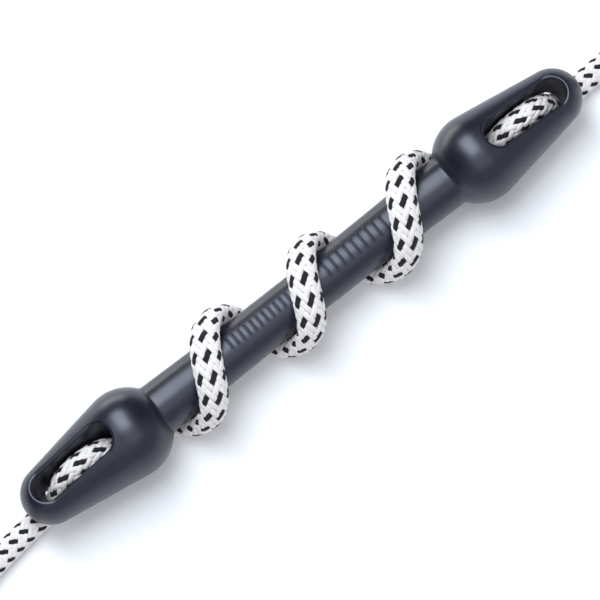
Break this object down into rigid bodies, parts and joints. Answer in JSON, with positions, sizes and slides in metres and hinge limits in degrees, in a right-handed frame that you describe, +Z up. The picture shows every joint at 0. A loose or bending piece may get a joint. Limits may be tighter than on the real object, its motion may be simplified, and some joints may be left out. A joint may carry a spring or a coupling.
{
  "type": "mooring line snubber",
  "caption": "Rubber mooring line snubber with a tapering slotted head at each end of a round shaft, rigged on a braided rope wound round the shaft, with an eye at each rope end.",
  "frame": {"origin": "under the middle of the rubber body, on the surface that it lies on", "axes": "+X along the rubber body towards its right head, +Z up through the slots, +Y across"},
  "size_m": [0.6462, 0.0844, 0.0553],
  "materials": {
    "rubber": "satin moulded",
    "rope": "braided, white with black flecks",
    "thimble": "polished",
    "twine": "waxed twine"
  },
  "bodies": {
    "left_end": {"left_head": "rubber", "shaft": "rubber", "rope_winding": "rope", "rope_tail_left": "rope", "thimble_left": "thimble", "whipping_left": "twine"},
    "right_end": {"right_head": "rubber", "rope_tail_right": "rope", "thimble_right": "thimble", "whipping_right": "twine"}
  },
  "joints": [
    {"name": "stretch", "type": "slide", "parent": "left_end", "child": "right_end", "axis": [1, 0, 0], "range_m": [0, 0.07], "stiffness_N_per_m": 12000, "deforming": ["shaft", "rope_winding"]}
  ]
}
